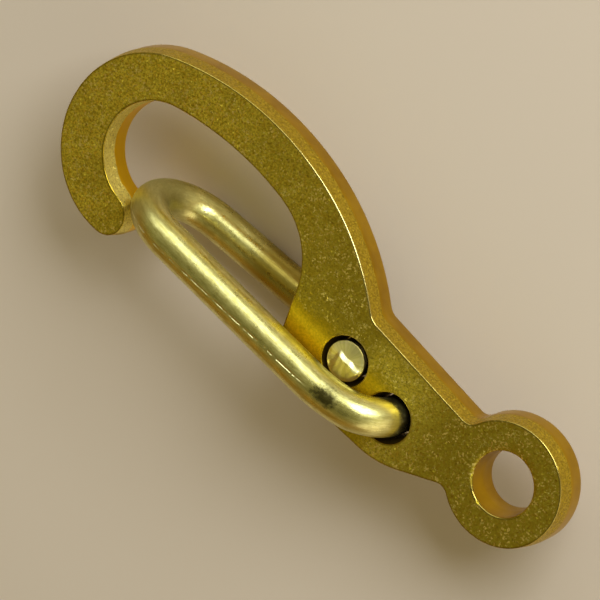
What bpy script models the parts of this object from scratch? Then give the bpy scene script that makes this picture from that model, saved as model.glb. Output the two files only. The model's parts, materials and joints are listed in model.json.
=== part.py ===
"""Small solid-brass snap hook: a flat stamped hook plate and a sprung gate bent from one wire.

The plate lies flat with its front face up. X runs from the eye to the bow of the hook, and the mouth and
the gate are on the +Y side. The gate's front leg lies over the plate and its back leg under it. They meet
in the crown, which crosses inside the hook's nose and shuts the mouth. Each leg's end turns inward into
its own hole in the shoulder, and the two holes are apart, so the wire is flexed when the gate swings open.

The gate is one wire. It is made as two halves that meet at the middle of the crown, because rigid
pieces can't flex.

All dimensions below are in millimetres. The plate's outline is drawn with the eye's centre at (0, 0) and
the plate's back face at z = 0. Everything is then moved so that the origin is at the bottom centre.
"""

from math import asin, atan2, ceil, cos, degrees, pi, radians, sin, sqrt, tan

import bmesh
import bpy
from mathutils import Vector

MM = 0.001

# plate
PLATE_THICKNESS = 2.6
EDGE_CHAMFER = 0.1
TORN_FROM = 1.3  # from here to the front face the stamped wall is torn metal that leans inward
TORN_LEAN = 0.16  # how far it leans in by the front face
EYE_RADIUS = 4.06
EYE_HOLE_RADIUS = 2.1
EYE_HOLE_CHAMFER = 0.2
EYE_FILLET = 0.9
PIVOT_HOLE_RADIUS = 1.65
PIVOT_HOLE_CHAMFER = 0.08
FRONT_PIVOT = Vector((8.4, 2.25))
BACK_PIVOT = Vector((12.8, 1.45))
NECK_START = Vector((4.9, -1.36))
NECK_HEADING = -4.0

# the front face's outline from the neck's spine side round the hook and back to the neck's gate side:
# ("line", length) or ("arc", radius, turn in degrees), where a turn to the left is positive
OUTLINE = (
    ("line", 7.622),  # neck, spine side
    ("arc", 1.3, -39.8),  # shoulder fillet
    ("arc", 17.4, 29.584),  # back of the spine
    ("arc", 19.6, 37.416),
    ("arc", 6.7, 122.15),  # bow
    ("arc", 5.77, 38.497),  # top of the nose
    ("arc", 1.327, 98.242),  # round nose end
    ("arc", 1.534, 69.761),  # nose lip, where the crown rests
    ("arc", 3.8, -155.4),  # inside of the bow
    ("arc", 20.66, -26.2),  # inside of the spine
    ("arc", 5.37, -64.3),  # root of the mouth
    ("line", 3.0),  # face of the gate shoulder
    ("arc", 3.05, 75.2),  # gate shoulder corner
    ("line", 5.5),  # gate side, under the front leg
    ("arc", 6.6, 26.3),
    ("line", 1.5),  # neck, gate side
)
ARC_STEP = 0.7
ARC_STEP_DEGREES = 9.0

# gate wire
WIRE_RADIUS = 1.25
WIRE_SIDES_RESOLUTION = 6
FRONT_LEG_HEIGHT = 1.65  # centre of the front leg, out from the plate's front face
BACK_LEG_HEIGHT = 2.4  # centre of the back leg, out from the plate's back face
CROWN_CENTRE = Vector((26.24, 3.12))
FRONT_LEG_ANGLE = -0.75
BACK_LEG_ANGLE = 3.6
SWEEP_LENGTH = 5.4  # length over which a leg bends sideways to its hole
END_BEND_RADIUS = 2.4
FRONT_END_RECESS = 0.3  # the wire's ends stop short of the far face of the plate
BACK_END_RECESS = 0.15
HALVES_GAP = 0.3

CROWN_RADIUS = (FRONT_LEG_HEIGHT + PLATE_THICKNESS + BACK_LEG_HEIGHT) / 2
CROWN_Z = PLATE_THICKNESS + FRONT_LEG_HEIGHT - CROWN_RADIUS


def clear_scene():
    for old in list(bpy.data.objects):
        bpy.data.objects.remove(old, do_unlink=True)


def brass(name, colour, roughness):
    material = bpy.data.materials.new(name)
    material.use_nodes = True
    shader = material.node_tree.nodes["Principled BSDF"]
    shader.inputs["Base Color"].default_value = (*colour, 1.0)
    shader.inputs["Metallic"].default_value = 1.0
    shader.inputs["Roughness"].default_value = roughness
    return material


def heading(angle):
    return Vector((cos(radians(angle)), sin(radians(angle))))


def arc_points(centre, radius, start, turn):
    """Points after the first on an arc, from the angle start through turn, both in degrees."""
    count = max(2, ceil(abs(turn) / ARC_STEP_DEGREES), ceil(radians(abs(turn)) * radius / ARC_STEP))
    return [centre + radius * heading(start + turn * k / count) for k in range(1, count + 1)]


def traced(start, angle, moves):
    """Follows lines and arcs from start. Returns the points and the last heading."""
    points = [start.copy()]
    for move in moves:
        if move[0] == "line":
            points.append(points[-1] + move[1] * heading(angle))
            continue
        _, radius, turn = move
        side = 90 if turn > 0 else -90
        centre = points[-1] + radius * heading(angle + side)
        points += arc_points(centre, radius, angle - side, turn)
        angle += turn
    return points, angle


def eye_fillet(point, angle, leaving):
    """The centre of the fillet between the eye's rim and a line, on the line's right-hand side.

    The line runs through point with the given heading, and either leaves the eye or runs into it.
    """
    along = heading(angle)
    shifted = point + EYE_FILLET * heading(angle - 90)
    middle = -shifted.dot(along)
    half = sqrt(middle ** 2 - shifted.length_squared + (EYE_RADIUS + EYE_FILLET) ** 2)
    return shifted + along * (middle + half if leaving else middle - half)


def angle_of(vector):
    return degrees(atan2(vector.y, vector.x))


def left_turn(start, end):
    return (end - start) % 360


def plate_outline():
    """The front face's outline, counter-clockwise seen from the front."""
    points, last_angle = traced(NECK_START, NECK_HEADING, OUTLINE)
    into_eye = eye_fillet(points[-1], last_angle, False)
    out_of_eye = eye_fillet(NECK_START, NECK_HEADING, True)
    start = last_angle + 90
    end = angle_of(-into_eye)
    outline = points[1:-1] + [into_eye + EYE_FILLET * heading(start)]
    outline += arc_points(into_eye, EYE_FILLET, start, -left_turn(end, start))
    rim_start = angle_of(into_eye)
    rim_turn = left_turn(rim_start, angle_of(out_of_eye))
    outline += arc_points(Vector((0, 0)), EYE_RADIUS, rim_start, rim_turn)
    start = angle_of(-out_of_eye)
    outline += arc_points(out_of_eye, EYE_FILLET, start, -left_turn(NECK_HEADING + 90, start))
    return outline


def inset(outline, distance):
    """The outline moved inward by distance, point by point."""
    moved = []
    for before, point, after in zip(outline[-1:] + outline[:-1], outline, outline[1:] + outline[:1]):
        normal = ((point - before).normalized() + (after - point).normalized()).normalized()
        moved.append(point + distance * Vector((-normal.y, normal.x)))
    return moved


def new_object(name, mesh, material):
    made = bpy.data.objects.new(name, mesh)
    bpy.context.collection.objects.link(made)
    if material:
        mesh.materials.append(material)
    return made


def stacked(name, rings, material):
    """A closed solid through rings of points that all have the same number of points, lowest first."""
    shape = bmesh.new()
    loops = [[shape.verts.new(Vector(point) * MM) for point in ring] for ring in rings]
    for low, high in zip(loops, loops[1:]):
        for k in range(len(low)):
            after = (k + 1) % len(low)
            shape.faces.new((low[k], low[after], high[after], high[k]))
    shape.faces.new(list(reversed(loops[0])))
    shape.faces.new(loops[-1])
    mesh = bpy.data.meshes.new(name)
    shape.to_mesh(mesh)
    shape.free()
    return new_object(name, mesh, material)


def hole_cutter(name, centre, radius, chamfer, sides=48):
    """A round cutter through the plate. It leans like a stamped wall and chamfers both rims."""
    overrun = 0.5
    narrow = radius - TORN_LEAN
    levels = (
        (-overrun, narrow + chamfer + overrun),
        (chamfer, narrow),
        (TORN_FROM, narrow),
        (PLATE_THICKNESS - chamfer, radius),
        (PLATE_THICKNESS + overrun, radius + chamfer + overrun),
    )
    rings = []
    for z, ring_radius in levels:
        circle = [centre + ring_radius * heading(360 * k / sides) for k in range(sides)]
        rings.append([(point.x, point.y, z) for point in circle])
    cutter = stacked(name, rings, None)
    cutter.hide_render = True
    cutter.display_type = "WIRE"
    return cutter


def make_plate(outline, material):
    wide = inset(outline, -TORN_LEAN)
    levels = (
        (inset(outline, EDGE_CHAMFER - TORN_LEAN), 0.0),
        (wide, EDGE_CHAMFER),
        (wide, TORN_FROM),
        (outline, PLATE_THICKNESS - EDGE_CHAMFER),
        (inset(outline, EDGE_CHAMFER), PLATE_THICKNESS),
    )
    rings = [[(point.x, point.y, z) for point in ring] for ring, z in levels]
    plate = stacked("hook_plate", rings, material)
    holes = (
        ("eye_cutter", Vector((0, 0)), EYE_HOLE_RADIUS, EYE_HOLE_CHAMFER),
        ("front_pivot_cutter", FRONT_PIVOT, PIVOT_HOLE_RADIUS, PIVOT_HOLE_CHAMFER),
        ("back_pivot_cutter", BACK_PIVOT, PIVOT_HOLE_RADIUS, PIVOT_HOLE_CHAMFER),
    )
    cutters = []
    for name, centre, radius, chamfer in holes:
        cutter = hole_cutter(name, centre, radius, chamfer)
        cut = plate.modifiers.new(name, "BOOLEAN")
        cut.operation = "DIFFERENCE"
        cut.solver = "EXACT"
        cut.object = cutter
        cutters.append(cutter)
    return plate, cutters


def leg_centreline(pivot, angle, leg_z, inward, end_z):
    """One leg's centreline from the crown to its end in the pivot hole.

    The leg runs straight from the crown, sweeps sideways to the hole, and bends inward through 90 degrees.
    inward is -1 for the front leg, which turns down, and 1 for the back leg, which turns up.
    """
    slope = tan(radians(angle))
    sideways = CROWN_CENTRE.y - (CROWN_CENTRE.x - pivot.x) * slope - pivot.y
    sweep_start = pivot.x + SWEEP_LENGTH

    def at(x, z):
        swept = max(0.0, sweep_start - x) / SWEEP_LENGTH
        return Vector((x, CROWN_CENTRE.y - (CROWN_CENTRE.x - x) * slope - sideways * swept ** 2, z))

    bend_x = pivot.x + END_BEND_RADIUS
    sweep_steps = 8
    bend_steps = 10
    points = [at(CROWN_CENTRE.x, leg_z)]
    for k in range(sweep_steps + 1):
        points.append(at(sweep_start + (bend_x - sweep_start) * k / sweep_steps, leg_z))
    for k in range(1, bend_steps + 1):
        bent = pi / 2 * k / bend_steps
        across = END_BEND_RADIUS * (1 - cos(bent))
        points.append(at(bend_x - END_BEND_RADIUS * sin(bent), leg_z + inward * across))
    points.append(at(pivot.x, end_z))
    return points


def crown_centreline(side, leg_angle):
    """Half of the crown's bend, from the gap at its middle to the leg. side is 1 in front, -1 behind."""
    middle_angle = (FRONT_LEG_ANGLE + BACK_LEG_ANGLE) / 2
    first = asin(HALVES_GAP / 2 / CROWN_RADIUS)
    steps = 14
    points = []
    for k in range(steps):
        lift = first + (pi / 2 - first) * k / steps
        share = lift / (pi / 2)
        away = CROWN_RADIUS * cos(lift) * heading(middle_angle + (leg_angle - middle_angle) * share)
        plan = CROWN_CENTRE + away
        points.append(Vector((plan.x, plan.y, CROWN_Z + side * CROWN_RADIUS * sin(lift))))
    return points


def make_wire(name, points, material):
    curve = bpy.data.curves.new(name, "CURVE")
    curve.dimensions = "3D"
    curve.bevel_depth = WIRE_RADIUS * MM
    curve.bevel_resolution = WIRE_SIDES_RESOLUTION
    curve.use_fill_caps = True
    spline = curve.splines.new("POLY")
    spline.points.add(len(points) - 1)
    for spot, point in zip(spline.points, points):
        spot.co = (*(point * MM), 1.0)
    spline.use_smooth = True
    return new_object(name, curve, material)


def make_gate(material):
    front_z = PLATE_THICKNESS + FRONT_LEG_HEIGHT
    back_z = -BACK_LEG_HEIGHT
    front = crown_centreline(1, FRONT_LEG_ANGLE) + leg_centreline(
        FRONT_PIVOT, FRONT_LEG_ANGLE, front_z, -1, FRONT_END_RECESS
    )
    back = crown_centreline(-1, BACK_LEG_ANGLE) + leg_centreline(
        BACK_PIVOT, BACK_LEG_ANGLE, back_z, 1, PLATE_THICKNESS - BACK_END_RECESS
    )
    return make_wire("gate_front_leg", front, material), make_wire("gate_back_leg", back, material)


def crown_middle():
    return CROWN_CENTRE + CROWN_RADIUS * heading((FRONT_LEG_ANGLE + BACK_LEG_ANGLE) / 2)


def place(pieces, name, axis_point, offset):
    """Puts the pieces under an empty on their joint's axis, and moves both to the part's frame."""
    centre = Vector((axis_point.x, axis_point.y, PLATE_THICKNESS / 2))
    axis = bpy.data.objects.new(name, None)
    bpy.context.collection.objects.link(axis)
    axis.location = (centre + offset) * MM
    for piece in pieces:
        piece.parent = axis
        piece.location = -centre * MM


def main():
    clear_scene()
    stamped = brass("stamped brass", (0.36, 0.28, 0.08), 0.45)
    drawn = brass("drawn brass wire", (0.55, 0.47, 0.2), 0.22)
    outline = plate_outline()
    low = Vector((min(point.x for point in outline), min(point.y for point in outline)))
    high = Vector((max(point.x for point in outline), max(point.y for point in outline)))
    middle = (low + high) / 2
    offset = Vector((-middle.x, -middle.y, BACK_LEG_HEIGHT + WIRE_RADIUS))
    plate, cutters = make_plate(outline, stamped)
    front, back = make_gate(drawn)
    place([plate] + cutters, "plate_datum", Vector((0, 0)), offset)
    place([front], "gate_swing_axis", FRONT_PIVOT, offset)
    place([back], "gate_flex_axis", crown_middle(), offset)


main()
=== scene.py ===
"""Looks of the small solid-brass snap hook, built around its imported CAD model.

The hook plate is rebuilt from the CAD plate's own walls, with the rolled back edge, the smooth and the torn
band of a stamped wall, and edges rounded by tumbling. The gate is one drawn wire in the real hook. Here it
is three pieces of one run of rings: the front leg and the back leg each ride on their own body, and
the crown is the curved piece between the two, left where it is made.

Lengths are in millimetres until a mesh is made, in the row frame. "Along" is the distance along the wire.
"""

import json
from math import ceil, cos, pi, radians, sin, tan

import bmesh
import bpy
import numpy as np
from mathutils import Matrix, Vector, geometry, noise


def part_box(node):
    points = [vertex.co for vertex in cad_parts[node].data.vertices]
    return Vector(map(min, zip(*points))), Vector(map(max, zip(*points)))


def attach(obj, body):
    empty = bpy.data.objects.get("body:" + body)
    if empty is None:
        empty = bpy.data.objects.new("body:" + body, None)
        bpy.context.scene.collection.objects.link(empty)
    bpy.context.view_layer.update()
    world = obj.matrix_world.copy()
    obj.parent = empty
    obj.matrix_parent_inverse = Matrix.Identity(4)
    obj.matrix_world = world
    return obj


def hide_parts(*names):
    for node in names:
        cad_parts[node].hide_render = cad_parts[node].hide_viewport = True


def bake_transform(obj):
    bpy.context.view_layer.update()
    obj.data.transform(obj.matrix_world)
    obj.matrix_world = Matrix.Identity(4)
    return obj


MM = 0.001

# plate
WELD = 1e-6  # metres
UPRIGHT = 0.3  # a face is part of a wall if its normal rises less than this
LONGEST_ARC_CHORD = 0.78
CURVE_STEP = 0.02
OUTLINE_STEP = 0.1
HOLE_STEP = 0.09
CAP_GRID = 0.33
BACK_ROLL = 0.2
TORN_FROM = 1.3  # the torn band leans inward from here to the front face
TORN_LEAN = 0.16
PIVOT_HOLE_LEAN = 0.25
TORN_ROWS = 11
EDGE_ROUND = 0.07
LIT_EDGE_SIDE = (-0.5, -0.87)  # the outline's and the eye's front edge is bright on this side, towards the key light: painted highlight with some wear, and painted shade on the other side
RIM_SOFTENING = 0.3
ROLL_STEPS = 6
EYE_RIM_ROUND = 0.09
EYE_RIM_WIDEST = 0.72
EYE_RIM_WIDEST_AT = -75  # degrees
BRIGHT_EDGE_X = 1.2  # the painted edge highlight is brightest here, on the spine
BRIGHT_EDGE_REACH = 4.5
BOW_REACH = 10.5  # from the bow opening's centre to where its own wall, with its painted light, ends
DEEPEST_ROLL = 0.2

# gate wire, as in the CAD source
WIRE_RADIUS = 1.25
FRONT_LEG_ANGLE = -0.75
BACK_LEG_ANGLE = 3.6
SWEEP_LENGTH = 5.4
END_BEND_RADIUS = 2.4
WIRE_STEP = 0.12
WIRE_SIDES = 56
SEAM_DISTANCE = 3.2  # from the crown's centre to the seams between the wire's pieces
SEAM_CALM = 0.4  # no dents this close to a seam
SEAM_FADE = 1.5
END_RINGS = 26
END_ABOVE = 0.05
BURR_HEIGHT = 0.4
BURR_WIDTH = 0.08
CROWN_TOP = ((21.0, 24.0), (29.0, 27.0))  # the dull stretch's two soft edges along the wire, outer end first
# painted shade on the front leg as it goes down into its hole
ENTERING_HOLE = (3.2, 1.2)
# painted shade on the back leg under the plate
BEHIND_PLATE = (33.0, 36.0)
DRAW_MARK_TOP = 24.4  # where the long draw mark would cross the middle of the wire's upper side
DRAW_MARK_SLOPE = 0.0317
# a painted dark reflection on the front leg
DARK_REFLECTION_AT = (6.25, -0.65)  # along and across the wire
DARK_REFLECTION_SIZE = (1.0, 0.5)

# where the plate's face differs, in metres: each soft edge is (where it starts, where it is full)
RUBBED_X = ((-0.0087, -0.0073), (0.0022, 0.0012))
RUBBED_Y = (0.0, 0.0009)
SHOULDER_X = ((-0.0042, -0.0062), (-0.0125, -0.0082))
SHOULDER_Y = (-0.0022, -0.0009)
# painted shade: the face darkens from the bow towards the eye end
EYE_END_SHADE_X = (0.0165, -0.003)
FACE_DEPTH = 0.0002

# stamped brass colours, linear
FACE_DARK = (0.38, 0.285, 0.013, 1)
FACE_LIGHT = (1.0, 0.78, 0.08, 1)
# dull patches, and painted shade towards the eye end
FACE_TARNISH_AND_SHADE = (0.36, 0.275, 0.02, 1)
# painted highlight: the colour of the face's glints
FACE_GLINT = (0.98, 0.85, 0.28, 1)
FACE_WORN = (0.98, 0.8, 0.1, 1)
FACE_SPECK = (0.12, 0.085, 0.004, 1)
RUBBED_DARK = (0.5, 0.36, 0.012, 1)
RUBBED_LIGHT = (0.74, 0.53, 0.025, 1)
TORN_DARK = (0.32, 0.21, 0.01, 1)
TORN_LIGHT = (0.62, 0.44, 0.035, 1)
# painted light on the bow's inner walls
TORN_INNER_LIT = (1.0, 0.88, 0.24, 1)
SMOOTH_DARK = (0.4, 0.22, 0.002, 1)
SMOOTH_LIGHT = (0.52, 0.31, 0.005, 1)
SMOOTH_INNER_LIT = (1.0, 0.64, 0.012, 1)
# front edges: painted highlight with some wear, and painted shade
RIM_HIGHLIGHT_AND_WEAR = (0.88, 0.74, 0.3, 1)
RIM_PAINTED_SHADE = (0.34, 0.22, 0.012, 1)
# painted shade in the pivot holes, with grime
BORE_SHADE_AND_GRIME = (0.07, 0.04, 0.006, 1)

# drawn brass colours, linear
WIRE_DARK = (0.6, 0.54, 0.17, 1)
WIRE_LIGHT = (0.84, 0.78, 0.31, 1)
WIRE_PATCH = (0.5, 0.44, 0.13, 1)
# dull crown, and painted shade where the front leg goes into its hole
WIRE_DULL_AND_SHADE = (0.4, 0.37, 0.13, 1)
# painted shade on the back leg under the plate
WIRE_SHADED_BEHIND = (0.4, 0.31, 0.06, 1)
WIRE_CUT = (0.98, 0.9, 0.5, 1)
# painted dark reflection
WIRE_DARK_REFLECTION = (0.05, 0.04, 0.01, 1)
# painted glint on the draw mark
WIRE_MARK_GLINT = (1.0, 0.94, 0.55, 1)

# studio
LIGHT_DISTANCE = 320
FLOOR_REACH = 3000
FLOOR_COLOUR = (0.66, 0.56, 0.44, 1)

# camera
CAMERA_TARGET = (0.701, 0.548, 6.25)
CAMERA_DISTANCE = 350.0
CAMERA_AZIMUTH = -30.068
CAMERA_ELEVATION = 59.241
CAMERA_ROLL = -109.533
CAMERA_LENS = 336.0


# ---------------------------------------------------------------- plate outline


def wall_loops(node):
    """The front edge of each of the plate's walls as a counter-clockwise loop of (x, y), largest first."""
    shape = bmesh.new()
    shape.from_mesh(node.data)
    bmesh.ops.remove_doubles(shape, verts=shape.verts, dist=WELD)
    shape.normal_update()
    heights = [vert.co.z for vert in shape.verts]
    middle = (min(heights) + max(heights)) / 2
    joined = {}
    for edge in shape.edges:
        is_front = min(vert.co.z for vert in edge.verts) > middle + WELD
        upright = [abs(face.normal.z) < UPRIGHT for face in edge.link_faces]
        if is_front and len(upright) == 2 and upright[0] != upright[1]:
            for vert in edge.verts:
                joined.setdefault(vert, []).append(edge.other_vert(vert))
    loops = []
    while joined:
        first = next(iter(joined))
        loop = [first]
        while True:
            onward = [vert for vert in joined.pop(loop[-1]) if vert in joined]
            if not onward:
                break
            loop.append(onward[0])
        loops.append(np.array([vert.co.xy[:] for vert in loop]) / MM)
    shape.free()
    loops = [loop if area(loop) > 0 else loop[::-1] for loop in loops]
    return sorted(loops, key=lambda loop: -area(loop))


def area(loop):
    x, y = loop.T
    return float(np.sum(x * np.roll(y, -1) - np.roll(x, -1) * y)) / 2


def smoothed(loop, step):
    """A closed loop of chords turned into an even, smooth line that keeps its long chords straight."""
    chord = np.roll(loop, -1, 0) - loop
    length = np.linalg.norm(chord, axis=1)
    heading = chord / length[:, None]
    before_length, before_heading = np.roll(length, 1), np.roll(heading, 1, 0)
    share = (before_length / (before_length + length))[:, None]
    tangent = before_heading * (1 - share) + heading * share
    tangent[length > LONGEST_ARC_CHORD] = heading[length > LONGEST_ARC_CHORD]
    after_long = before_length > LONGEST_ARC_CHORD
    tangent[after_long] = before_heading[after_long]
    tangent /= np.linalg.norm(tangent, axis=1)[:, None]
    dense = []
    for k, start in enumerate(loop):
        end, leave, arrive = loop[(k + 1) % len(loop)], tangent[k], tangent[(k + 1) % len(loop)]
        for t in np.linspace(0, 1, ceil(length[k] / CURVE_STEP), endpoint=False):
            dense.append(
                start * (2 * t**3 - 3 * t**2 + 1)
                + end * (3 * t**2 - 2 * t**3)
                + leave * length[k] * (t**3 - 2 * t**2 + t)
                + arrive * length[k] * (t**3 - t**2)
            )
    dense = np.array(dense + dense[:1])
    run = np.concatenate([[0], np.cumsum(np.linalg.norm(np.diff(dense, axis=0), axis=1))])
    count = round(run[-1] / step)
    wanted = np.arange(count) * run[-1] / count
    return np.stack([np.interp(wanted, run, dense[:, axis]) for axis in (0, 1)], axis=1)


def circle(centre, radius, step):
    count = round(2 * pi * radius / step)
    angles = 2 * pi * np.arange(count) / count
    return centre + radius * np.stack([np.cos(angles), np.sin(angles)], axis=1)


def left_of(loop):
    """Unit vectors to the left of a closed loop's direction, which is inward on a counter-clockwise loop."""
    ahead = unit(np.roll(loop, -1, 0) - np.roll(loop, 1, 0))
    return np.stack([-ahead[:, 1], ahead[:, 0]], axis=1)


# ---------------------------------------------------------------- plate solid


def noise_at(points, size, seed):
    """Smooth noise from -1 to 1 at each point, with features about that size."""
    shift = Vector((seed * 17.3, seed * 5.1, seed * 9.7))
    return np.array([noise.noise(Vector(point) / size + shift) for point in points])


def wall_profile(thickness, edge_round, lean):
    """(inset into the metal, height, torn, wall, rim) for each ring of one wall, from back to front.

    edge_round is an array with the width of the front edge's roll for each point of the wall's line.
    """
    rows = []
    for turn in np.linspace(0, pi / 2, ROLL_STEPS + 1):
        wall = sin(turn) ** 2
        rows.append((BACK_ROLL * (1 - sin(turn)) - lean, BACK_ROLL * (1 - cos(turn)), 0.0, wall, 0.0))
    for height in np.linspace(BACK_ROLL, TORN_FROM, 5)[1:-1]:
        rows.append((-lean, height, 0.0, 1.0, 0.0))
    roll_depth = np.minimum(edge_round, DEEPEST_ROLL)
    for share in np.linspace(0, 1, TORN_ROWS):
        height = TORN_FROM + (thickness - roll_depth - TORN_FROM) * share
        rows.append((-lean * (1 - share), height, min(1.0, share * 5), 1.0, 0.0))
    for turn in np.linspace(0, pi / 2, ROLL_STEPS + 1)[1:]:
        rim = np.minimum(1.0, 2 * EDGE_ROUND / edge_round)
        rows.append((edge_round * (1 - cos(turn)), thickness - roll_depth * (1 - sin(turn)), 0.0, 0.0, rim))
    for share in (0.35, 0.7, 1.0):
        level = np.full_like(edge_round, thickness)
        rows.append((edge_round + RIM_SOFTENING * share, level, 0.0, 0.0, rim * (1 - share)))
    return rows


class Solid:
    """Vertices, faces and masks of the plate while it is put together."""

    def __init__(self):
        self.points = []
        self.faces = []
        self.masks = {name: [] for name in ("wall", "torn", "rim", "bore", "lit_side", "inner")}

    def add(self, points, **masks):
        first = len(self.points)
        self.points += [tuple(point) for point in points]
        for name, values in self.masks.items():
            values += list(np.broadcast_to(masks.get(name, 0.0), len(points)))
        return np.arange(first, first + len(points))

    def band(self, low, high, flip):
        for k in range(len(low)):
            after = (k + 1) % len(low)
            face = (low[k], low[after], high[after], high[k])
            self.faces.append(face[::-1] if flip else face)

    def walled(self, loop, back, thickness, edge_round, kind, bow_centre):
        """One wall from the back face to the front face. Returns its first and its last ring."""
        is_outline = kind == "outline"
        inward = left_of(loop) * (1 if is_outline else -1)
        # painted highlight on the front edges that face the key light, painted shade on the others
        lit_side = np.clip(0.1 - 1.3 * (inward @ LIT_EDGE_SIDE), 0, 1)
        if kind == "pivot":  # painted highlight on the opposite side
            lit_side = np.clip(0.1 + 1.1 * (inward @ LIT_EDGE_SIDE), 0, 1)
        lit_side *= 0.3 + 0.7 * np.exp(-(((loop[:, 0] - BRIGHT_EDGE_X) / BRIGHT_EDGE_REACH) ** 2))
        # inner marks the bow's inner walls, which get painted light
        inner = np.zeros(len(loop))
        if is_outline:
            inner = np.clip(-4 * np.sum(inward * unit(bow_centre - loop), axis=1), 0, 1)
            inner *= np.clip(BOW_REACH - np.linalg.norm(bow_centre - loop, axis=1), 0, 1)
        masks = {"lit_side": lit_side * (1 - inner), "inner": inner, "bore": float(kind == "pivot")}
        rings = []
        for inset, height, torn, wall, rim in wall_profile(
            thickness, edge_round, PIVOT_HOLE_LEAN if kind == "pivot" else TORN_LEAN
        ):
            heights = np.broadcast_to(height, len(loop)) + back
            flat = loop + inward * np.broadcast_to(inset, len(loop))[:, None]
            if kind == "eye":
                torn = 0.0
            if torn:
                at = np.column_stack([flat, heights])
                depth = 0.011 * noise_at(at, 0.13, 3) + 0.012 * noise_at(at * (1, 1, 0.5), 0.34, 4)
                flat = flat + inward * (depth * torn)[:, None]
            spots = np.column_stack([flat, heights])
            rings.append(self.add(spots, wall=wall, torn=torn, rim=rim, **masks))
        for low, high in zip(rings, rings[1:]):
            self.band(low, high, not is_outline)
        return rings[0], rings[-1]

    def capped(self, rings, is_front):
        """Fills a face between the outline's ring, which comes first, and the holes' rings."""
        edge = [np.array([self.points[k] for k in ring]) for ring in rings]
        height = edge[0][0, 2]
        corners = np.concatenate([points[:, :2] for points in edge])
        low, high = corners.min(0), corners.max(0)
        grid = np.array(
            [
                (x, y + CAP_GRID / 2 * (column % 2))
                for column, x in enumerate(np.arange(low[0], high[0], CAP_GRID * 0.87))
                for y in np.arange(low[1], high[1], CAP_GRID)
            ]
        )
        inside = within(grid, edge[0]) & ~np.any([within(grid, hole) for hole in edge[1:]], axis=0)
        grid = grid[inside]
        nearest = np.array([np.min(np.sum((corners - point) ** 2, axis=1)) for point in grid]) ** 0.5
        grid, nearest = grid[nearest > CAP_GRID * 0.5], nearest[nearest > CAP_GRID * 0.5]
        lift = 0.006 * noise_at(np.column_stack([grid, np.zeros(len(grid))]), 3.1, 5 + is_front)
        lift *= np.clip(nearest / 1.2, 0, 1) ** 2
        inner = self.add(np.column_stack([grid, height + lift]))
        numbers = np.concatenate([*rings, inner])
        lines, first = [], 0
        for ring in rings:
            count = len(ring)
            lines += [(first + k, first + (k + 1) % count) for k in range(count)]
            first += count
        flat = [Vector(point) for point in np.concatenate([corners, grid])]
        spots, _, triangles, sources, _, _ = geometry.delaunay_2d_cdt(flat, lines, [], 1, 1e-7)
        spots = np.array([spot[:] for spot in spots])
        middles = np.array([spots[list(triangle)].mean(0) for triangle in triangles])
        holes = np.any([within(middles, hole) for hole in edge[1:]], axis=0)
        for triangle, in_hole in zip(triangles, holes):
            if not in_hole:
                face = [numbers[sources[k][0]] for k in triangle]
                self.faces.append(tuple(face if is_front else face[::-1]))


def unit(vectors):
    return vectors / np.linalg.norm(vectors, axis=1)[:, None]


def within(points, loop):
    """Whether each point lies inside a closed loop."""
    x, y = points[:, :1], points[:, 1:2]
    x1, y1 = loop[:, 0], loop[:, 1]
    x2, y2 = np.roll(x1, -1), np.roll(y1, -1)
    crosses = (y1 > y) != (y2 > y)
    span = np.where(y2 == y1, 1e-12, y2 - y1)
    return np.sum(crosses & (x < (x2 - x1) * (y - y1) / span + x1), axis=1) % 2 == 1


def make_plate(node):
    low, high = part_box(node.name)
    back, thickness = low.z / MM, (high.z - low.z) / MM
    outline, *holes = wall_loops(node)
    solid = Solid()
    line = smoothed(outline, OUTLINE_STEP)
    level = np.column_stack([line, np.zeros(len(line))])
    rounding = EDGE_ROUND * (1 + 0.35 * noise_at(level, 1.7, 1) + 0.25 * noise_at(level, 0.4, 2))
    opening = np.array(frame["record"]["physics"]["openings"][0]["box_m"]) / MM
    bow_centre = opening.mean(0)[:2]
    ends = [solid.walled(line, back, thickness, rounding, "outline", bow_centre)]
    for hole in holes:
        centre = hole.mean(0)
        radius = float(np.mean(np.linalg.norm(hole - centre, axis=1)))
        line = circle(centre, radius, HOLE_STEP)
        is_eye = hole is holes[0]
        rounding = eye_rim(line - centre) if is_eye else np.full(len(line), EDGE_ROUND)
        ends.append(solid.walled(line, back, thickness, rounding, "eye" if is_eye else "pivot", bow_centre))
    solid.capped([pair[1] for pair in ends], True)
    solid.capped([pair[0] for pair in ends], False)
    mesh = bpy.data.meshes.new("hook_body")
    mesh.from_pydata([Vector(point) * MM for point in solid.points], [], solid.faces)
    for name, values in solid.masks.items():
        mesh.attributes.new(name, "FLOAT", "POINT").data.foreach_set("value", np.array(values, np.float32))
    return finished("hook_body", mesh)


def eye_rim(spokes):
    """The eye's front rim is rolled wide on the side away from the gate, and has one nick."""
    angles = np.arctan2(spokes[:, 1], spokes[:, 0])
    wide = (0.5 + 0.5 * np.cos(angles - radians(EYE_RIM_WIDEST_AT))) ** 1.5
    nick = np.exp(-(((angles - radians(76)) / 0.1) ** 2))
    return EYE_RIM_ROUND + (EYE_RIM_WIDEST - EYE_RIM_ROUND) * wide + 0.1 * nick


def finished(name, mesh):
    mesh.validate()
    mesh.polygons.foreach_set("use_smooth", [True] * len(mesh.polygons))
    mesh.update()
    made = bpy.data.objects.new(name, mesh)
    bpy.context.scene.collection.objects.link(made)
    return made


# ---------------------------------------------------------------- gate wire


def heading(angle):
    return Vector((cos(radians(angle)), sin(radians(angle))))


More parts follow.
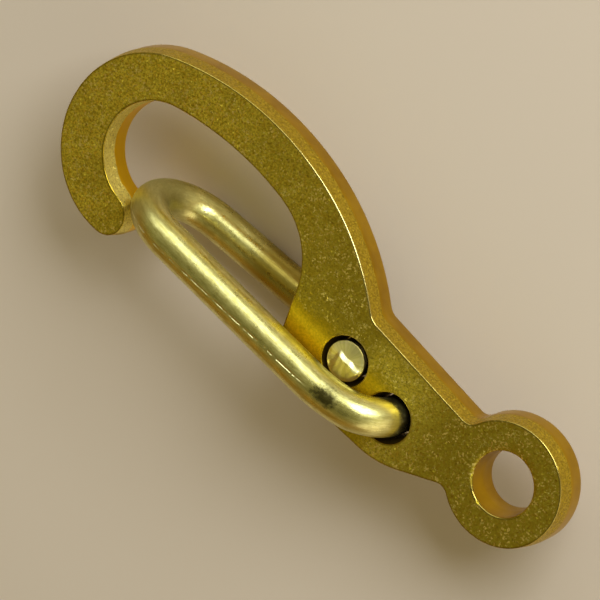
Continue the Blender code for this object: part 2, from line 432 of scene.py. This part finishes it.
def leg_line(crown, pivot, angle, leg_z, inward, end_z):
    """One leg's centreline from the crown to its end in the pivot hole."""
    slope = tan(radians(angle))
    sideways = crown.y - (crown.x - pivot.x) * slope - pivot.y
    sweep_start = pivot.x + SWEEP_LENGTH
    bend_x = pivot.x + END_BEND_RADIUS

    def at(x, z):
        swept = max(0.0, sweep_start - x) / SWEEP_LENGTH
        return Vector((x, crown.y - (crown.x - x) * slope - sideways * swept**2, z))

    points = [at(x, leg_z) for x in np.linspace(crown.x, bend_x, 200)]
    for turn in np.linspace(0, pi / 2, 60)[1:]:
        across = END_BEND_RADIUS * (1 - cos(turn))
        points.append(at(bend_x - END_BEND_RADIUS * sin(turn), leg_z + inward * across))
    points += [at(pivot.x, z) for z in np.linspace(points[-1].z, end_z, 12)[1:]]
    return points


def crown_line(crown, radius, middle_z):
    """The crown's half circle from the front leg to the back leg, without its two ends."""
    middle_angle = (FRONT_LEG_ANGLE + BACK_LEG_ANGLE) / 2
    points = []
    for lift in np.linspace(pi / 2, -pi / 2, 120)[1:-1]:
        leg_angle = FRONT_LEG_ANGLE if lift > 0 else BACK_LEG_ANGLE
        share = abs(lift) / (pi / 2)
        away = radius * cos(lift) * heading(middle_angle + (leg_angle - middle_angle) * share)
        points.append(Vector((crown.x + away.x, crown.y + away.y, middle_z + radius * sin(lift))))
    return points


class Wire:
    """The gate's wire as one even run of rings, from the front leg's end to the back leg's end."""

    def __init__(self, line, radius):
        dense = np.array([point[:] for point in line])
        run = np.concatenate([[0], np.cumsum(np.linalg.norm(np.diff(dense, axis=0), axis=1))])
        count = ceil(run[-1] / WIRE_STEP) + 1
        self.along = np.linspace(0, run[-1], count)
        self.centres = np.stack([np.interp(self.along, run, dense[:, axis]) for axis in range(3)], axis=1)
        ahead = np.gradient(self.centres, axis=0)
        self.ahead = ahead / np.linalg.norm(ahead, axis=1)[:, None]
        self.radius = radius
        side = np.array((0.0, 1.0, 0.0))
        self.sides = []
        for direction in self.ahead:
            side = side - direction * (side @ direction)
            side = side / np.linalg.norm(side)
            self.sides.append(side)
        self.sides = np.array(self.sides)
        self.others = np.cross(self.ahead, self.sides)
        bend = np.linalg.norm(np.gradient(self.ahead, self.along, axis=0), axis=1)
        self.bend = np.convolve(bend, np.ones(9) / 9, mode="same")
        self.seams = [int(k) for k in np.flatnonzero(np.diff(self.in_crown()))]

    def in_crown(self):
        reach = max(self.centres[:, 0]) - self.radius * 2
        return self.centres[:, 0] > reach - SEAM_DISTANCE

    def ring(self, k):
        angles = 2 * pi * np.arange(WIRE_SIDES) / WIRE_SIDES
        spread = np.outer(np.cos(angles), self.sides[k]) + np.outer(np.sin(angles), self.others[k])
        along = np.full(WIRE_SIDES, self.along[k])
        at = np.column_stack([along, self.radius * np.cos(angles), self.radius * np.sin(angles)])
        distance = min(abs(k - seam) for seam in self.seams) * WIRE_STEP
        calm = min(1.0, max(0.0, (distance - SEAM_CALM) / SEAM_FADE))
        dents = 0.007 * noise_at(at * (0.5, 1, 1), 1.1, 7) + 0.003 * noise_at(at * (0.3, 1, 1), 0.4, 8)
        burr = max(0.0, 1 - (self.along[-1] - self.along[k]) / BURR_HEIGHT) ** 0.5
        size = self.radius + calm * dents + BURR_WIDTH * burr
        return self.centres[k] + spread * size[:, None], at

    def piece(self, name, first, last, end=None):
        """The rings first to last as an object. end is the shape of a cut end at ring first or last."""
        points, maps, faces = [], [], []
        for k in range(first, last + 1):
            ring, at = self.ring(k)
            points += list(ring)
            maps += list(at)
        for k in range(last - first):
            for side in range(WIRE_SIDES):
                after = (side + 1) % WIRE_SIDES
                low, high = k * WIRE_SIDES, (k + 1) * WIRE_SIDES
                faces.append((low + side, low + after, high + after, high + side))
        uncut = len(points)
        if end:
            self.cut_end(points, maps, faces, last if end == "last" else first, end == "last")
        mesh = bpy.data.meshes.new(name)
        mesh.from_pydata([Vector(point) * MM for point in points], [], faces)
        mesh.attributes.new("wire_map", "FLOAT_VECTOR", "POINT").data.foreach_set(
            "vector", np.array(maps, np.float32).ravel()
        )
        cut = (np.arange(len(points)) >= uncut).astype(np.float32)
        mesh.attributes.new("cut", "FLOAT", "POINT").data.foreach_set("value", cut)
        return finished(name, mesh)

    def cut_end(self, points, maps, faces, k, is_last):
        """Closes the wire with the roof shape that cutting pliers leave, rounded at its edge."""
        outward = self.ahead[k] * (1 if is_last else -1)
        outer = (len(points) // WIRE_SIDES - 1) * WIRE_SIDES if is_last else 0
        for step in range(1, END_RINGS + 1):
            share = 1 - step / END_RINGS
            ring, at = self.ring(k)
            spokes = (ring - self.centres[k]) * share
            lift = cut_height(spokes[:, 0], spokes[:, 1], self.radius)
            start = len(points)
            if step == END_RINGS:
                points.append(self.centres[k] + outward * lift[0])
                maps.append(at[0])
            else:
                points += list(self.centres[k] + spokes + outward * lift[:, None])
                maps += list(at)
            for side in range(WIRE_SIDES):
                after = (side + 1) % WIRE_SIDES
                if step == END_RINGS:
                    face = (outer + side, outer + after, start)
                else:
                    face = (outer + side, outer + after, start + after, start + side)
                faces.append(face if is_last else face[::-1])
            outer = start


def cut_height(x, y, radius):
    """Height of the cut end over its edge: a steep step along X between two facets, and shear marks at -Y."""
    across = y + 0.19 + 0.08 * x + 0.05 * noise_at(np.column_stack([x, y * 0.3, np.ones(len(x))]), 0.45, 11)
    away = np.hypot(x, y) / radius
    facets = 0.07 + 0.06 * np.minimum(across, 0) - 0.12 * np.maximum(across - 0.13, 0)
    step = 0.8 * np.clip(across + 0.13, 0, 0.26) * np.clip((0.75 - x) / 0.3, 0, 1)
    marks = 0.006 * np.sin(38 * (x + 0.35 * y)) * np.clip((-0.35 - y) / 0.2, 0, 1)
    ripple = 0.028 * noise_at(np.column_stack([x, y * 0.4, np.zeros(len(x))]), 0.3, 9)
    rounded = np.clip((1 - away) / 0.12, 0, 1) ** 0.5
    return (facets + step + marks + ripple) * rounded


def make_gate():
    front_low, front_high = (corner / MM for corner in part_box("gate_front_leg"))
    back_low, back_high = (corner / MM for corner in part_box("gate_back_leg"))
    pivots = wall_loops(frame["nodes"]["hook_plate"])[2:]
    front_pivot, back_pivot = sorted((Vector(hole.mean(0)) for hole in pivots), key=lambda spot: spot.x)
    flex = next(joint for joint in frame["joints"] if joint["name"] == "gate_flex")
    front_z = front_high.z - WIRE_RADIUS
    back_z = back_low.z + WIRE_RADIUS
    crown_radius = (front_z - back_z) / 2
    middle = heading((FRONT_LEG_ANGLE + BACK_LEG_ANGLE) / 2)
    crown = Vector([value / MM for value in flex["pos_m"]]).xy - crown_radius * middle
    front = leg_line(crown, front_pivot, FRONT_LEG_ANGLE, front_z, -1, front_low.z)
    back = leg_line(crown, back_pivot, BACK_LEG_ANGLE, back_z, 1, back_high.z + END_ABOVE)
    bend = crown_line(crown, crown_radius, (front_z + back_z) / 2)
    wire = Wire(front[::-1] + bend + back, WIRE_RADIUS)
    first, second = wire.seams
    front_leg = wire.piece("front_leg", 0, first, "first")
    crown_bend = wire.piece("crown_bend", first, second)
    back_leg = wire.piece("back_leg", second, len(wire.along) - 1, "last")
    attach(front_leg, "gate_front")
    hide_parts("gate_front_leg")
    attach(back_leg, "gate_back")
    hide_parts("gate_back_leg")
    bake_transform(crown_bend)
    return front_leg, crown_bend, back_leg


# ---------------------------------------------------------------- materials


class Nodes:
    """A short way to write a material's nodes."""

    def __init__(self, name):
        self.material = bpy.data.materials.new(name)
        self.material.use_nodes = True
        self.tree = self.material.node_tree
        self.shader = self.tree.nodes["Principled BSDF"]

    def add(self, kind, settings=None, **inputs):
        node = self.tree.nodes.new("ShaderNode" + kind)
        for name, value in (settings or {}).items():
            setattr(node, name, value)
        for name, value in inputs.items():
            key = int(name[1:]) if name[0] == "n" and name[1:].isdigit() else name.replace("_", " ")
            self.put(node.inputs[key], value)
        return node

    def put(self, socket, value):
        if isinstance(value, bpy.types.NodeSocket):
            self.tree.links.new(value, socket)
        else:
            socket.default_value = value

    def noise(self, vector, scale, detail=2.0, roughness=0.5):
        return self.add(
            "TexNoise", None, Vector=vector, Scale=scale, Detail=detail, Roughness=roughness
        ).outputs["Fac"]

    def ramp(self, value, low, high, to_low=0.0, to_high=1.0):
        node = self.add("MapRange", {"interpolation_type": "SMOOTHSTEP"}, Value=value)
        for name, number in (("From Min", low), ("From Max", high), ("To Min", to_low), ("To Max", to_high)):
            node.inputs[name].default_value = number
        return node.outputs["Result"]

    def math(self, operation, first, second=0.0):
        return self.add("Math", {"operation": operation}, n0=first, n1=second).outputs[0]

    def product(self, first, *others):
        for other in others:
            first = self.math("MULTIPLY", first, other)
        return first

    def between(self, value, rise, fall):
        """1 between two soft edges, each given as (where it is 0, where it is 1)."""
        return self.product(self.ramp(value, *rise), self.ramp(value, *fall))

    def centred(self, value, width):
        """Noise around 0.5 turned into noise around 0."""
        return self.product(self.math("SUBTRACT", value, 0.5), width)

    def mix(self, share, first, second):
        node = self.add("Mix", {"data_type": "RGBA"})
        self.put(node.inputs[0], share)
        self.put(node.inputs[6], first)
        self.put(node.inputs[7], second)
        return node.outputs[2]

    def attribute(self, name, output="Fac"):
        return self.add("Attribute", {"attribute_name": name}).outputs[output]


def stamped_brass():
    """Tumbled stamped brass: a grainy olive face, rubbed where the gate slides, and two-banded walls, with painted
    shade towards the eye end, painted glints on the face, painted highlight and shade on the front edges, painted
    light on the bow's inner walls and painted shade in the pivot holes.
    """
    n = Nodes("stamped brass")
    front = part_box("hook_plate")[1].z
    place = n.add("TexCoord").outputs["Object"]
    x, y, z = n.add("SeparateXYZ", None, Vector=place).outputs
    wall, torn_share, rim, bore = (n.attribute(name) for name in ("wall", "torn", "rim", "bore"))
    lit_side, inner = n.attribute("lit_side"), n.attribute("inner")

    grain = n.noise(place, 7000, 4.0, 0.65)
    patches = n.noise(place, 420, 3.0, 0.55)
    clumps = n.noise(place, 1500, 3.0, 0.6)
    ridges = n.math("ABSOLUTE", n.math("SUBTRACT", n.noise(place, 6500, 1.0, 0.5), 0.5))
    glint_flecks = n.product(n.ramp(ridges, 0.05, 0.015), n.ramp(n.noise(place, 3600, 2.0), 0.54, 0.66))
    cells = n.add("TexVoronoi", None, Vector=place, Scale=9000, Randomness=1.0)
    specks, sparkles, facets = n.add("SeparateColor", None, Color=cells.outputs["Color"]).outputs

    waver = n.centred(n.noise(place, 700, 2.0), 0.0016)
    rubbed = n.product(
        n.ramp(n.math("ADD", y, waver), *RUBBED_Y),
        n.between(x, *RUBBED_X),
        n.ramp(z, front - FACE_DEPTH, front - FACE_DEPTH / 2),
    )
    torn = n.ramp(n.math("ADD", torn_share, n.centred(n.noise(place, 1500, 3.0), 1.1)), 0.35, 0.65)
    smooth_wall_share = n.product(wall, n.math("SUBTRACT", 1.0, torn))
    edge = n.ramp(rim, 0.7, 1.0)
    smooth = n.math("MAXIMUM", n.math("MAXIMUM", rubbed, smooth_wall_share), edge)
    # painted shade in the pivot holes around the wire, with grime
    bore_shade_and_grime = n.product(bore, n.ramp(wall, 0.0, 0.15))

    # painted shade: darker towards the eye end, with a patchy edge
    eye_end_shade = n.ramp(n.math("ADD", x, n.product(patches, 0.006)), *EYE_END_SHADE_X)
    shoulder = n.product(n.between(x, *SHOULDER_X), n.ramp(y, *SHOULDER_Y))
    face = n.mix(n.ramp(grain, 0.32, 0.68), FACE_DARK, FACE_LIGHT)
    face = n.mix(n.product(eye_end_shade, 0.75), face, FACE_TARNISH_AND_SHADE)
    face = n.mix(n.ramp(patches, 0.35, 0.7, 0.0, 0.35), face, FACE_TARNISH_AND_SHADE)
    face = n.mix(n.ramp(clumps, 0.52, 0.66, 0.0, 0.35), face, FACE_TARNISH_AND_SHADE)
    face = n.mix(n.product(shoulder, n.ramp(grain, 0.35, 0.6, 0.1, 0.65)), face, FACE_WORN)
    # painted highlights: pale glint flecks and sparkles in the face's colour
    face = n.mix(n.product(glint_flecks, 0.6), face, FACE_GLINT)
    face = n.mix(n.ramp(specks, 0.9, 0.96, 0.0, 0.3), face, FACE_SPECK)
    sparkling = n.product(n.ramp(sparkles, 0.78, 0.88, 0.0, 0.85), n.ramp(clumps, 0.46, 0.6))
    face = n.mix(sparkling, face, FACE_GLINT)
    face = n.mix(rubbed, face, n.mix(n.ramp(grain, 0.3, 0.7), RUBBED_DARK, RUBBED_LIGHT))
    torn_wall = n.mix(n.ramp(grain, 0.3, 0.7), TORN_DARK, TORN_LIGHT)
    # painted light: brighter walls inside the bow
    torn_wall = n.mix(n.product(inner, n.ramp(grain, 0.3, 0.6, 0.45, 1.0)), torn_wall, TORN_INNER_LIT)
    smooth_wall = n.mix(n.ramp(patches, 0.3, 0.7), SMOOTH_DARK, SMOOTH_LIGHT)
    smooth_wall = n.mix(inner, smooth_wall, SMOOTH_INNER_LIT)
    colour = n.mix(wall, face, n.mix(torn, smooth_wall, torn_wall))
    # painted highlight, with some wear, on the front edges facing the key light; painted shade on the others
    edge_share = n.product(edge, n.math("ADD", n.product(lit_side, 0.3), 0.6))
    colour = n.mix(edge_share, colour, n.mix(lit_side, RIM_PAINTED_SHADE, RIM_HIGHLIGHT_AND_WEAR))
    # painted shade in the pivot holes around the wire, with grime
    colour = n.mix(n.product(bore_shade_and_grime, 0.95), colour, BORE_SHADE_AND_GRIME)
    n.put(n.shader.inputs["Base Color"], colour)
    n.shader.inputs["Metallic"].default_value = 1.0

    rough = n.add("Mix", {"data_type": "FLOAT"})
    n.put(rough.inputs[0], smooth)
    n.put(rough.inputs[2], n.ramp(grain, 0.3, 0.7, 0.54, 0.42))
    n.put(rough.inputs[3], n.ramp(edge, 0.0, 1.0, 0.36, 0.22))
    n.put(n.shader.inputs["Roughness"], n.math("MAXIMUM", rough.outputs[0], n.product(bore_shade_and_grime, 0.65)))

    calm = n.math("SUBTRACT", 1.0, smooth)
    tilt = n.add("VectorMath", {"operation": "SUBTRACT"}, n0=cells.outputs["Color"], n1=(0.5, 0.5, 0.5))
    amount = n.math("ADD", n.ramp(facets, 0.86, 0.93, 0.0, 0.8), 0.32)
    amount = n.product(amount, n.math("SUBTRACT", calm, n.product(wall, 0.5)))
    amount = n.math("MAXIMUM", amount, 0.0)
    tilted = n.add("VectorMath", {"operation": "SCALE"}, n0=tilt.outputs[0], Scale=amount)
    surface = n.add("Bump", None, Distance=0.00002, Height=grain)
    n.put(surface.inputs["Strength"], n.math("ADD", n.product(calm, 0.6), 0.12))
    summed = n.add("VectorMath", {"operation": "ADD"}, n0=surface.outputs[0], n1=tilted.outputs[0])
    normal = n.add("VectorMath", {"operation": "NORMALIZE"}, n0=summed.outputs[0])
    n.put(n.shader.inputs["Normal"], normal.outputs[0])
    return n.material


def draw_mark(n, place):
    """The long line that the die left on the wire, in pieces. It starts past the front leg's end bend."""
    along, side, other = n.add("SeparateXYZ", None, Vector=place).outputs
    line = n.product(n.math("SUBTRACT", along, DRAW_MARK_TOP), DRAW_MARK_SLOPE)
    offset = n.math("ABSOLUTE", n.math("SUBTRACT", side, line))
    mark = n.product(n.ramp(offset, 0.09, 0.01), n.ramp(other, -0.2, 0.2))
    mark = n.product(mark, n.ramp(n.noise(place, 1.7, 2.0), 0.38, 0.6))
    return n.product(mark, n.ramp(along, 7.4, 8.6), n.ramp(along, 36.0, 33.0, 0.0, 0.8))


def dark_reflection(n, place, ragged):
    """One painted dark reflection on the front leg's outer side, with a ragged edge."""
    along, side, other = n.add("SeparateXYZ", None, Vector=place).outputs
    lengthwise = n.product(n.math("SUBTRACT", along, DARK_REFLECTION_AT[0]), 1 / DARK_REFLECTION_SIZE[0])
    crosswise = n.product(n.math("SUBTRACT", side, DARK_REFLECTION_AT[1]), 1 / DARK_REFLECTION_SIZE[1])
    away = n.math("ADD", n.math("POWER", lengthwise, 2.0), n.math("POWER", crosswise, 2.0))
    away = n.math("ADD", away, n.centred(ragged, 2.4))
    return n.product(n.ramp(away, 1.5, 0.1), n.ramp(other, -0.2, 0.2))


def drawn_brass():
    """Drawn wire: fine lines along it, a draw mark with a painted glint, mottling, a dull crown, painted shade
    into the front hole and behind the plate, a painted dark reflection and a bright cut end.
    """
    n = Nodes("drawn brass")
    place = n.attribute("wire_map", "Vector")
    cut = n.attribute("cut")
    along = n.add("SeparateXYZ", None, Vector=place).outputs[0]
    stretched = n.add("VectorMath", {"operation": "MULTIPLY"}, n0=place, n1=(0.2, 1.0, 1.0)).outputs[0]
    lines = n.noise(stretched, 7.0, 3.0, 0.6)
    fine_lines = n.noise(stretched, 22.0, 2.0, 0.6)
    patches = n.noise(place, 0.8, 3.0, 0.5)
    pebbles = n.noise(place, 4.5, 3.0, 0.6)
    in_crown = n.between(along, *CROWN_TOP)
    mark = draw_mark(n, place)

    colour = n.mix(n.ramp(lines, 0.3, 0.7), WIRE_DARK, WIRE_LIGHT)
    colour = n.mix(n.ramp(patches, 0.45, 0.75, 0.0, 0.5), colour, WIRE_PATCH)
    colour = n.mix(n.ramp(pebbles, 0.5, 0.7, 0.0, 0.45), colour, WIRE_PATCH)
    colour = n.mix(n.product(in_crown, 0.6), colour, WIRE_DULL_AND_SHADE)
    # painted shade where the front leg goes down into its hole
    colour = n.mix(n.ramp(along, *ENTERING_HOLE, 0.0, 0.7), colour, WIRE_DULL_AND_SHADE)
    # painted shade on the back leg under the plate
    colour = n.mix(n.ramp(along, *BEHIND_PLATE), colour, WIRE_SHADED_BEHIND)
    # the draw mark's pale colour is partly a painted glint
    colour = n.mix(mark, colour, WIRE_MARK_GLINT)
    # painted reflection of something dark overhead
    colour = n.mix(n.product(dark_reflection(n, place, pebbles), 0.85), colour, WIRE_DARK_REFLECTION)
    colour = n.mix(cut, colour, n.mix(n.ramp(lines, 0.35, 0.65), WIRE_LIGHT, WIRE_CUT))
    n.put(n.shader.inputs["Base Color"], colour)
    n.shader.inputs["Metallic"].default_value = 1.0

    rough = n.ramp(patches, 0.3, 0.75, 0.24, 0.36)
    rough = n.math("ADD", rough, n.ramp(pebbles, 0.4, 0.8, 0.0, 0.12))
    rough = n.math("ADD", rough, n.product(in_crown, 0.1))
    rough = n.math("ADD", rough, n.product(cut, 0.1))
    n.put(n.shader.inputs["Roughness"], rough)

    height = n.math("ADD", n.product(lines, 0.5), n.product(fine_lines, 0.3))
    height = n.math("ADD", height, pebbles)
    groove = n.add("Bump", None, Strength=1.0, Distance=0.00006, Height=n.math("SUBTRACT", 1.0, mark))
    surface = n.add("Bump", None, Strength=0.45, Distance=0.00002, Height=height, Normal=groove.outputs[0])
    n.put(n.shader.inputs["Normal"], surface.outputs[0])
    return n.material


def paint(obj, material):
    obj.data.materials.clear()
    obj.data.materials.append(material)


# ---------------------------------------------------------------- studio


def direction(azimuth, elevation):
    a, e = radians(azimuth), radians(elevation)
    return Vector((sin(a) * cos(e), -cos(a) * cos(e), sin(e)))


def make_camera():
    data = bpy.data.cameras.new("camera")
    data.lens = CAMERA_LENS
    data.sensor_width = 36.0
    camera = bpy.data.objects.new("camera", data)
    bpy.context.scene.collection.objects.link(camera)
    back = direction(CAMERA_AZIMUTH, CAMERA_ELEVATION)
    camera.location = (Vector(CAMERA_TARGET) + CAMERA_DISTANCE * back) * MM
    aimed = (-back).to_track_quat("-Z", "Y").to_matrix()
    rolled = aimed @ Matrix.Rotation(radians(CAMERA_ROLL), 3, "Z")
    camera.rotation_mode = "QUATERNION"
    camera.rotation_quaternion = rolled.to_quaternion()
    data.clip_start = 0.01
    data.clip_end = 10.0
    bpy.context.scene.camera = camera


def area_light(name, toward, size, power, colour):
    data = bpy.data.lights.new(name, "AREA")
    data.shape = "RECTANGLE"
    data.size, data.size_y = size[0] * MM, size[1] * MM
    data.energy = power
    data.color = colour
    light = bpy.data.objects.new(name, data)
    bpy.context.scene.collection.objects.link(light)
    toward = Vector(toward).normalized()
    light.location = toward * LIGHT_DISTANCE * MM
    light.rotation_mode = "QUATERNION"
    light.rotation_quaternion = (-toward).to_track_quat("-Z", "Y")


def make_world():
    """Soft light from above the spine's side, brown towards the gate's side, with a darker patch overhead."""
    world = bpy.data.worlds.new("studio")
    world.use_nodes = True
    tree = world.node_tree
    place = tree.nodes.new("ShaderNodeTexCoord").outputs["Generated"]

    def shade(towards, stops):
        facing = tree.nodes.new("ShaderNodeVectorMath")
        facing.operation = "DOT_PRODUCT"
        facing.inputs[1].default_value = towards
        ramp = tree.nodes.new("ShaderNodeValToRGB")
        tree.links.new(place, facing.inputs[0])
        tree.links.new(facing.outputs["Value"], ramp.inputs[0])
        elements = ramp.color_ramp.elements
        elements.remove(elements[1])
        elements[0].position, elements[0].color = stops[0]
        for position, colour in stops[1:]:
            elements.new(position).color = colour
        return ramp.outputs[0]

    room = shade(
        (0.0, -0.4, 0.8),
        [(0.0, (0.28, 0.16, 0.03, 1)), (0.2, (0.27, 0.18, 0.05, 1)), (0.45, (0.27, 0.25, 0.13, 1))],
    )
    overhead = shade((0.0, 0.22, 0.975), [(0.9, (1, 1, 1, 1)), (0.985, (0.45, 0.45, 0.38, 1))])
    product = tree.nodes.new("ShaderNodeVectorMath")
    product.operation = "MULTIPLY"
    tree.links.new(room, product.inputs[0])
    tree.links.new(overhead, product.inputs[1])
    tree.links.new(product.outputs[0], tree.nodes["Background"].inputs["Color"])
    bpy.context.scene.world = world


def make_studio():
    area_light("key", (-0.27, -0.88, 0.63), (190, 160), 0.85, (0.87, 0.92, 1.0))
    area_light("side_box", (0.4, -0.75, 0.56), (340, 165), 0.33, (0.87, 0.92, 1.0))
    area_light("end_box", (-0.95, 0.1, 0.25), (520, 300), 0.42, (1.0, 0.96, 0.88))
    make_world()
    bpy.context.scene.view_settings.view_transform = "Standard"

    mesh = bpy.data.meshes.new("floor")
    reach = FLOOR_REACH * MM
    corners = [(-reach, -reach, 0), (reach, -reach, 0), (reach, reach, 0), (-reach, reach, 0)]
    mesh.from_pydata(corners, [], [(0, 1, 2, 3)])
    floor = bpy.data.objects.new("floor", mesh)
    bpy.context.scene.collection.objects.link(floor)
    n = Nodes("floor")
    n.shader.inputs["Base Color"].default_value = FLOOR_COLOUR
    n.shader.inputs["Roughness"].default_value = 0.75
    mesh.materials.append(n.material)


# ---------------------------------------------------------------- assembly


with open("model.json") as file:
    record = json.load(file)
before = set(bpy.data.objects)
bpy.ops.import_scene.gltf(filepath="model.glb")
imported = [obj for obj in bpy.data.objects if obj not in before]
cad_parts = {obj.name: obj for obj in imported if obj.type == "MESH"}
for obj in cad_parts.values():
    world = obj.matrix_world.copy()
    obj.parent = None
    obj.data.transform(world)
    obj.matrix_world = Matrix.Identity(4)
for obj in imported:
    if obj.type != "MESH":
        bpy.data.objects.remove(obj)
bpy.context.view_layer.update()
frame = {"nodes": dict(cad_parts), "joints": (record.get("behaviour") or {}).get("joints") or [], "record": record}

body = make_plate(frame["nodes"]["hook_plate"])
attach(body, "hook_frame")
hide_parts("hook_plate")
paint(body, stamped_brass())

wire_material = drawn_brass()
for wire_piece in make_gate():
    paint(wire_piece, wire_material)

make_camera()
make_studio()
